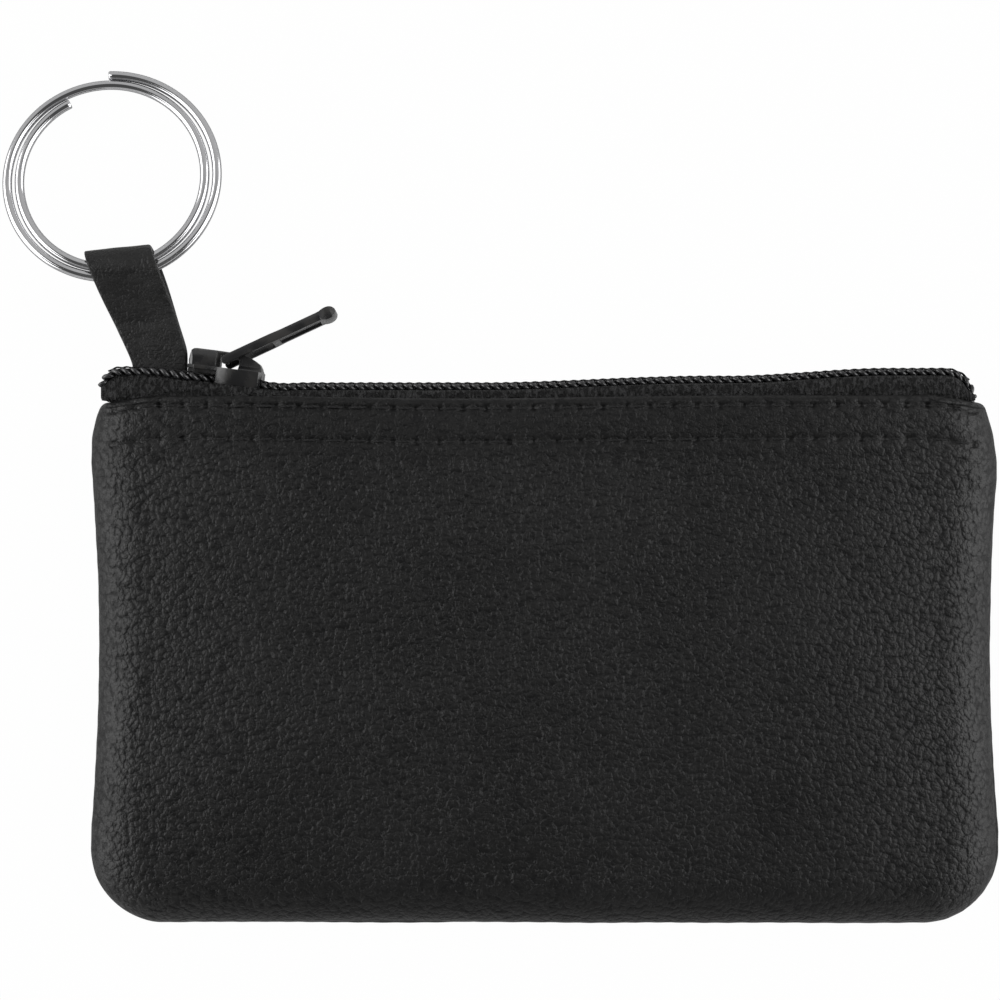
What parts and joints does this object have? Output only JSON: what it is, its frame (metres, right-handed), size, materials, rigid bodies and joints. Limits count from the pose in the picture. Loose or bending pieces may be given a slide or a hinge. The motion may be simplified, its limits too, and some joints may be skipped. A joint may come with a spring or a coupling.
{
  "type": "coin purse",
  "caption": "Small soft leather zip purse for coins and keys, with turned seams, a coil zip with slider and pull, and a split key ring on a strap.",
  "frame": {"origin": "middle of the flat back face that the purse rests on", "axes": "+X along the zip, away from the key ring; +Y from the bottom fold up to the zip; +Z out of the front panel"},
  "size_m": [0.1203, 0.104, 0.0121],
  "materials": {
    "leather": "black pebbled full-grain cowhide, semi-matt",
    "strap_leather": "black fine-grained leather with cut edges",
    "lining": "black woven polyester lining",
    "zip_tape": "black knitted polyester tape",
    "zip_coil": "black nylon monofilament",
    "thread": "black bonded polyester thread",
    "painted_zinc": "gloss black enamel on die-cast zinc",
    "spring_steel": "thin spring steel strip",
    "ring_chrome": "polished nickel-plated steel wire"
  },
  "bodies": {
    "back": {"back_panel": "leather", "back_lining": "lining", "back_zip_tape": "zip_tape", "back_zip_coil": "zip_coil", "back_coil_core": "thread", "back_hem_stitches": "thread", "side_seam_stitches": "thread", "strap_tail": "strap_leather"},
    "front": {"front_panel": "leather", "front_lining": "lining", "front_zip_tape": "zip_tape", "front_zip_coil": "zip_coil", "front_coil_core": "thread", "front_hem_stitches": "thread"},
    "slider": {"slider_body": "painted_zinc", "slider_crown": "painted_zinc"},
    "lock": {"lock_spring": "spring_steel"},
    "pull": {"pull_tab": "painted_zinc"},
    "strap": {"strap_loop": "strap_leather"},
    "ring": {"split_ring": "ring_chrome"}
  },
  "joints": [
    {"name": "slider_run", "type": "slide", "parent": "back", "child": "slider", "axis": [0.9999, 0.0141, 0], "range_m": [0, 0.08], "deforming": ["back_zip_tape", "back_zip_coil", "back_coil_core", "front_zip_tape", "front_zip_coil", "front_coil_core"]},
    {"name": "mouth_open", "type": "hinge", "parent": "back", "child": "front", "pos_m": [0, -0.0319, 0.0055], "axis": [1, 0, 0], "range_deg": [0, 10]},
    {"name": "pull_swing", "type": "hinge", "parent": "slider", "child": "pull", "pos_m": [-0.03851, 0.03613, 0.0055], "axis": [0, 0, 1], "range_deg": [-18, 65]},
    {"name": "lock_lift", "type": "hinge", "parent": "slider", "child": "lock", "pos_m": [-0.04133, 0.03695, 0.0055], "axis": [0, 0, 1], "range_deg": [-0.6, 2]},
    {"name": "strap_flop", "type": "hinge", "parent": "back", "child": "strap", "pos_m": [-0.0472, 0.0331, 0.0055], "axis": [1, 0, 0], "range_deg": [0, 60]},
    {"name": "ring_swing", "type": "hinge", "parent": "strap", "child": "ring", "pos_m": [-0.0516, 0.0475, 0.0055], "axis": [0.9954, 0.0958, 0], "range_deg": [0, 100]}
  ],
  "couplings": [
    {"joint": "mouth_open", "follows": "slider_run", "rad_per_m": 2.18},
    {"joint": "lock_lift", "follows": "pull_swing", "ratio": 0.03}
  ]
}
